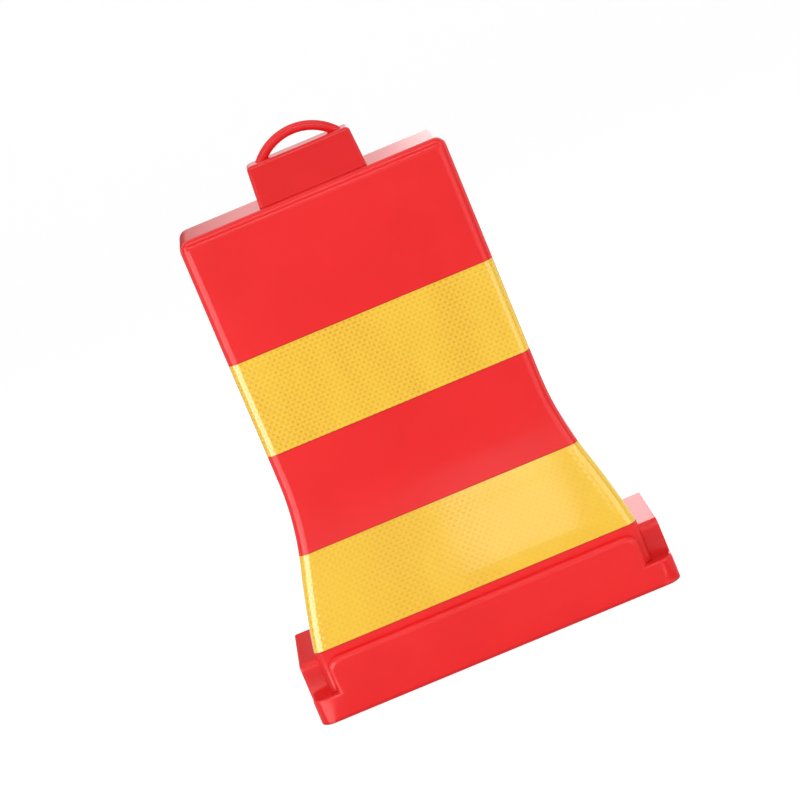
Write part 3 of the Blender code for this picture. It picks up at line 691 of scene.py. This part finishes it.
# %% [markdown]
# ## Moulded red plastic
# Rotational moulding leaves polyethylene glossy but not perfect: the colour drifts a little where the wall is
# thicker and the skin has a faint orange-peel ripple. Painted shade darkens the red along the film's edges, along
# the base's lower edge and in its four corner notches. The specular level is low, because a deep red turns pink
# under more of the white floor's reflection. The stopper and its loop take a darker copy of the same red, which
# is painted shade.

# %% Red plastic
FILM_EDGES = [edge for band in BANDS.values() for edge in band]
NOTCH_FADE = 0.003
NOTCH_SIDE, NOTCH_FRONT = reach + NOTCH_FADE, END_DEPTH / 2
# Painted shade: how far the red goes towards a darker red in the notches, at the base's lower edge and along the
# film's edges.
NOTCH_SHADE, FOOT_SHADE, FILM_EDGE_SHADE, PAINTED_SHADE_RED = 0.24, 0.35, 0.45, (0.33, 0.006, 0.008, 1)


def moulded_red(name, deep, pale):
    made, spot = finish(name, IOR=1.5, Specular_IOR_Level=0.22)
    drift, peel, wear = spot.noise(7.0, 3.0), spot.noise(260.0, 2.0), spot.noise(14.0, 2.0)
    across_part, along_part, height = spot.parts()
    aside, ahead = [way.maths("ABSOLUTE", way) for way in (across_part, along_part)]
    past_side = aside.between(NOTCH_SIDE - NOTCH_FADE, NOTCH_SIDE)
    past_front = ahead.between(NOTCH_FRONT - NOTCH_FADE, NOTCH_FRONT)
    above_slab = height.between(slab_top - 0.0008, slab_top)
    under_rim = 1 - height.between(tray_high.z - 0.030, tray_high.z + 0.004)
    at_foot = 1 - height.between(tray_low.z + 0.003, tray_low.z + 0.007)
    # Painted shade in the four corner notches, and a painted shadow line along the base's lower edge.
    painted_shade = NOTCH_SHADE * (past_side * past_front) * (above_slab * under_rim) + FOOT_SHADE * at_foot
    # Painted shade in thin dark lines along the film's edges.
    for edge in FILM_EDGES:
        away = height.maths("ABSOLUTE", height - edge)
        painted_shade = painted_shade + FILM_EDGE_SHADE * (1 - away.between(0.0003, 0.0022))
    colour = painted_shade.mix(drift.between(0.3, 0.7).mix(deep, pale), PAINTED_SHADE_RED)
    rough = 0.15 + 0.03 * drift + 0.02 * wear
    feed(made, Base_Color=colour, Roughness=rough, Normal=bump(peel, 0.0004, 0.02))
    return made


red = moulded_red("red_plastic", (0.83, 0.015, 0.017, 1), (0.87, 0.017, 0.019, 1))
# A darker copy of the same red: painted shade on the stopper and its loop.
shaded_red = moulded_red("shaded_red_plastic", (0.75, 0.014, 0.016, 1), (0.79, 0.016, 0.018, 1))
print("red plastic nodes:", len(red.node_tree.nodes))

# %% [markdown]
# ## Yellow film
# Reflective film is a clear sheet over tiny cells. The cells show as rows of soft dark dots, wider than they are
# tall and half a step apart from row to row. One cosine runs along the wall and one up it, and where the second
# turns negative the first is flipped, which gives the half step. Two faint ribs, along and up, break the regular
# look. The pattern follows the surface, so the film gets a UV map measured in metres on the upright wall: along it
# one way and up the band the other. Both bands are the same roll, so the map is stretched over the flare. Where
# the lower band bends round the tank's upright edges, its relief is deeper, which mottles the light there.

# %% Unroll the film
ROLL_HEIGHT = UPPER_BAND_TOP - UPPER_BAND_LOW


def unroll(film):
    layer = film.data.uv_layers.new(name="unrolled")
    front = -1 if film.name.endswith("front") else 1
    low = min(vert.co.z for vert in film.data.vertices)
    high = max(vert.co.z for vert in film.data.vertices)
    for corner in film.data.loops:
        co = film.data.vertices[corner.vertex_index].co
        half = half_size(co.z, 0.0)
        past = min(abs(co.y - front * half.y), 2 * half.y)
        turn = past if abs(co.x) > half.x - TANK_EDGE else 0.0
        side = 1 if co.x > 0 else -1
        drawn = TANK_HALF.x / half.x, ROLL_HEIGHT / (high - low)
        layer.data[corner.index].uv = ((co.x + side * turn) * drawn[0], (co.z - low) * drawn[1])


for film in films.values():
    unroll(film)
print("films unrolled:", len(films))

# %% Yellow film finish
DOT_PITCH, ROW_PITCH, RIB_ALONG, RIB_UP = 0.0097, 0.0061, 0.0058, 0.0078
BEND_START, BEND_END = TANK_HALF.x - TANK_EDGE, TANK_HALF.x + TANK_EDGE
yellow, spot = finish("yellow_film", IOR=1.5, Specular_IOR_Level=0.65)
chart = spot.node("UVMap", {"uv_map": "unrolled"})
across_wall, up_wall, _ = chart.parts()


def ripple(way, length):
    return way.maths("COSINE", way * (2 * math.pi / length))


wave, rows = ripple(across_wall, DOT_PITCH), ripple(up_wall, 2 * ROW_PITCH)
flip = rows.maths("SIGN", rows)
dots = (wave * flip).between(-0.5, 0.85) * (rows * flip).between(0.45, 1.0)
cells = 0.22 + 0.78 * dots + 0.16 * ripple(across_wall, RIB_ALONG) + 0.06 * ripple(up_wall, RIB_UP)
cloud = spot.node("Mapping", {}, {"Vector": spot, "Scale": (9.0, 9.0, 2.0)}).noise(1.6, 2.0)
across_part, _, height = spot.parts()
low_band = 1 - height.between(LOWER_BAND_TOP + 0.005, UPPER_BAND_LOW - 0.005)
clear = 1 - low_band * (0.35 + 0.45 * across_part.between(-0.05, 0.10))
depth = cells * clear * (0.45 + 0.55 * cloud.between(0.25, 0.7)) + 0.07 * low_band
tint = cloud.between(0.3, 0.75).mix((0.970, 0.615, 0.018, 1), (0.945, 0.590, 0.012, 1))
colour = depth.mix(tint, (0.76, 0.350, 0.0005, 1))
from_middle = across_wall.maths("ABSOLUTE", across_wall)
bend_in = from_middle.between(BEND_START - 0.006, BEND_START + 0.002)
bend_out = from_middle.between(BEND_END, BEND_END + 0.008)
bend = bend_in * (1 - bend_out)
relief = (1 - dots) * (clear + 1.1 * bend * low_band)
feed(yellow, Base_Color=colour, Roughness=0.06 + 0.06 * dots, Normal=bump(relief, 0.0003, 0.35))
print("yellow film nodes:", len(yellow.node_tree.nodes))

# %% [markdown]
# ## Finishes of what is hidden or small
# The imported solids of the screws, bolts, washers, inserts, plate, feet, ballast, seal, bush and gasket have the
# right shapes, so they stay and only get a finish each. The plug takes the black plastic too.

# %% Rubber, concrete, black plastic and metals
rubber, spot = finish("rubber", Specular_IOR_Level=0.3)
speck = spot.noise(700.0, 3.0)
soot = speck.mix((0.022, 0.022, 0.024, 1), (0.045, 0.045, 0.047, 1))
feed(rubber, Base_Color=soot, Roughness=0.7 + 0.2 * speck)
concrete, spot = finish("concrete")
sand, stain = spot.noise(420.0, 6.0), spot.noise(14.0, 3.0)
grey = sand.between(0.3, 0.7).mix((0.30, 0.29, 0.27, 1), (0.50, 0.49, 0.46, 1))
feed(concrete, Base_Color=grey, Roughness=0.8 + 0.15 * stain, Normal=bump(sand, 0.0006, 0.5))
black, spot = finish("black_plastic", Specular_IOR_Level=0.4)
grain = spot.noise(900.0, 2.0)
feed(black, Base_Color=grain.mix((0.035, 0.035, 0.038, 1), (0.055, 0.055, 0.058, 1)))
feed(black, Roughness=0.42 + 0.16 * grain, Normal=bump(grain, 0.0002, 0.25))
zinc, spot = finish("zinc_steel", Metallic=1.0)
bloom = spot.noise(240.0, 3.0)
plating = bloom.mix((0.55, 0.56, 0.57, 1), (0.70, 0.70, 0.70, 1))
feed(zinc, Base_Color=plating, Roughness=0.28 + 0.2 * bloom)
brass, spot = finish("brass", Metallic=1.0)
tarnish = spot.noise(180.0, 3.0)
gold = tarnish.mix((0.80, 0.61, 0.29, 1), (0.66, 0.47, 0.20, 1))
feed(brass, Base_Color=gold, Roughness=0.25 + 0.2 * tarnish)
small = {"rubber": rubber, "concrete": concrete, "black_plastic": black, "zinc_steel": zinc, "brass": brass}
print("small finishes:", sorted(small))

# %% [markdown]
# ## Dress the model
# Each new piece takes the place of its solid and moves with its body. The solids that stay take their finish by
# the slot that the record gives them.

# %% Put every piece on its body
dressed = [
    (tank, "tank_body", "barrier", red, "red_plastic"),
    (tray, "base_tray", "barrier", red, "red_plastic"),
    # The stopper and its loop take the darker copy of the red, which is painted shade.
    (stopper, "filler_stopper", "stopper", shaded_red, "red_plastic"),
    (loop, "carry_loop", "stopper", shaded_red, "red_plastic"),
    (plug, "drain_plug", "plug", black, "black_plastic"),
]
dressed += [(film, node, "barrier", yellow, "yellow_film") for node, film in films.items()]
for piece, node, body, made, slot_name in dressed:
    piece.data.materials.clear()
    piece.data.materials.append(made)
    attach(piece, body)
    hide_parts(node)
slots = {part["node"]: part["material_slot"] for part in frame["record"]["subparts"]}
kept = [node for node in frame["nodes"] if node not in {row[1] for row in dressed}]
for node in kept:
    data = frame["nodes"][node].data
    data.materials.clear()
    data.materials.append(small[slots[node]])
print("new pieces:", len(dressed), "solids that stay:", len(kept))

# %% [markdown]
# ## Studio
# The barrier stands on a pale floor that sweeps up behind it. Soft boxes on both sides, in front, above and behind
# light it. Glossy plastic also mirrors what stands round it, so bright cards, as a photographer hangs them, draw
# the pale bands along its rounded edges and the shading of its flat tops, and dark flags keep other edges deep.
# Only reflections see the cards and flags.

# %% Floor and backdrop
FLOOR_WIDTH, FLOOR_DEPTH, FLOOR_MIDDLE, WALL_Y, WALL_HEIGHT, SWEEP = 40, 10, 3.4, 8.4, 8, 3.0


def seen_directly(tree):
    """1 for the camera, for reflections and through glass, and 0 for light that falls on the object."""
    path = Wire(tree.nodes.new("ShaderNodeLightPath").outputs["Is Camera Ray"])
    ways = path.socket.node.outputs
    return path + Wire(ways["Is Glossy Ray"]) + Wire(ways["Is Transmission Ray"])


def studio_white(name, strength):
    """White to the eye and in reflections, but with the lamps' shadows still on it."""
    made = bpy.data.materials.new(name)
    made.use_nodes = True
    tree = made.node_tree
    tree.nodes.remove(tree.nodes["Principled BSDF"])
    seen = seen_directly(tree)
    matt, shade = [seen.node("BsdfDiffuse", {}, {"Color": (grey, grey, grey, 1)}) for grey in (0.9, 0.5)]
    glow = seen.node("Emission", {}, {"Color": (1, 1, 1, 1), "Strength": strength})
    both = seen.node("AddShader", {}, {0: shade, 1: glow})
    shader = seen.node("MixShader", {}, {0: seen, 1: matt, 2: both})
    tree.links.new(shader.socket, tree.nodes["Material Output"].inputs["Surface"])
    return made


bpy.ops.object.select_all(action="DESELECT")
bpy.ops.mesh.primitive_plane_add(size=1)
floor = bpy.context.object
floor.name = "floor"
bpy.ops.object.mode_set(mode="EDIT")
bpy.ops.transform.resize(value=(FLOOR_WIDTH, FLOOR_DEPTH, 1), center_override=(0, 0, 0))
bpy.ops.transform.translate(value=(0, FLOOR_MIDDLE, 0))
pick("edges", lambda edge: lies_at(edge, 1, WALL_Y))
bpy.ops.mesh.extrude_region_move(TRANSFORM_OT_translate={"value": (0, 0, WALL_HEIGHT)})
pick("edges", lambda edge: lies_at(edge, 1, WALL_Y) and at_height(edge, 0))
bpy.ops.mesh.bevel(offset=SWEEP, segments=16, affect="EDGES")
bpy.ops.object.mode_set(mode="OBJECT")
bpy.ops.object.shade_smooth()
floor.data.materials.append(studio_white("studio_white", 0.78))
print("floor faces:", len(floor.data.polygons))

# %% Lamps and world
LIT = (0, 0, 0.4)


def facing(place, aim):
    return (Vector(aim) - Vector(place)).to_track_quat("-Z", "Y")


def soft_box(name, place, aim, size, power):
    lamp = bpy.data.lights.new(name, "AREA")
    lamp.shape, lamp.size, lamp.size_y, lamp.energy = "RECTANGLE", size[0], size[1], power
    made = bpy.data.objects.new(name, lamp)
    made.location = place
    made.rotation_euler = facing(place, aim).to_euler()
    bpy.context.scene.collection.objects.link(made)
    return made


soft_box("left_box", (-2.2, -1.6, 1.6), LIT, (0.9, 1.8), 31)
soft_box("right_box", (2.2, -1.4, 1.4), LIT, (0.9, 1.8), 20)
for plain in (
    soft_box("front_box", (0.0, -2.6, 1.1), LIT, (1.6, 0.9), 10.5),
    soft_box("top_box", (0.0, 0.5, 2.6), LIT, (1.8, 0.9), 10),
    soft_box("rear_box", (0.0, 2.6, 1.5), LIT, (2.4, 1.2), 32),
):
    plain.visible_glossy = False
world = bpy.data.worlds.new("studio")
world.use_nodes = True
background = world.node_tree.nodes["Background"]
background.inputs["Color"].default_value = (1, 1, 1, 1)
brightness = 0.4 + 0.6 * seen_directly(world.node_tree)
world.node_tree.links.new(brightness.socket, background.inputs["Strength"])
bpy.context.scene.world = world
print("lamps:", sorted(lamp.name for lamp in bpy.data.lights))


# %% Cards for the reflections
def card(name, place, aim, size, level, rise=(), turn=0):
    """A sheet that only reflections see, with a level of glow and steps of it along its width, turned on Z."""
    bpy.ops.object.select_all(action="DESELECT")
    bpy.ops.mesh.primitive_plane_add(size=1, location=place)
    made = bpy.context.object
    made.name = name
    made.scale = (size[0], size[1], 1)
    made.rotation_euler = (Quaternion((0, 0, 1), math.radians(turn)) @ facing(place, aim)).to_euler()
    made.visible_camera = made.visible_diffuse = made.visible_shadow = made.visible_transmission = False
    paint, spot = finish(name)
    across_sheet = spot.parts()[0] * size[0]
    glow = level
    for start, end, more in rise:
        glow = glow + more * across_sheet.between(start, end)
    shine = spot.node("Emission", {}, {"Strength": glow})
    paint.node_tree.links.new(shine.socket, paint.node_tree.nodes["Material Output"].inputs["Surface"])
    made.data.materials.append(paint)


card("left_card", (-0.8465, -0.928, 0.40), (-0.0065, -0.298, 0.40), (1.415, 0.9), 7.5)
card("left_flag", (-1.25, 0.065, 0.40), (0, 0.065, 0.40), (0.66, 0.9), 0.9)
card("left_floor_card", (-0.40, -0.22, 0.002), (-0.40, -0.22, 1.0), (0.26, 0.16), 7.0)
card("left_floor_flag", (-0.427, -0.055, 0.004), (-0.427, -0.055, 1.0), (0.44, 0.26), 0.6, turn=22.3)
card("left_rear_flag", (-0.59, 0.45, 0.465), (-0.59, 0, 0.465), (0.52, 0.55), 0.4)
card("right_card", (0.765, -1.145, 0.40), (0.105, -0.395, 0.40), (1.08, 0.9), 3.0)
card("right_flag", (1.27, -0.355, 0.40), (0.2, 0, 0.40), (0.50, 0.9), 0.9)
card("right_side_card", (1.29, 0.32, 0.40), (0.2, 0, 0.40), (0.60, 0.9), 1.5)
card("right_floor_card", (0.296, -0.217, 0.002), (0.296, -0.217, 1.0), (0.032, 0.16), 3.3, turn=12)
card("right_floor_flag", (0.3766, -0.218, 0.004), (0.3766, -0.218, 1.0), (0.06, 0.24), 0.35, turn=48)
card("right_end_flag", (0.36, 0.0, 0.004), (0.36, 0.0, 1.0), (0.40, 0.256), 0.5)
card("right_rear_flag", (0.59, 0.45, 0.465), (0.59, 0, 0.465), (0.52, 0.55), 0.4)
card("front_card", (0.11, -2.4, 0.80), (0.1, 0, 0.30), (0.27, 0.52), 2.6)
card("high_card", (0.0, -1.7, 1.6), (0, 0, 0.75), (2.0, 0.20), 11.0)
card("top_card", (0.0, -0.45, 2.1), (0, 0, 0.75), (2.0, 0.30), 6.0)
BACK_STEPS = [(-0.30, -0.11, -1.45), (0.10, 0.40, -0.8)]
card("back_card", (0.0, 1.2, 0.70), (0, 0, 0.70), (2.0, 1.3), 2.35, BACK_STEPS)
sheets = [piece.name for piece in bpy.data.objects if piece.name.endswith(("_card", "_flag"))]
print("cards and flags:", sorted(sheets))
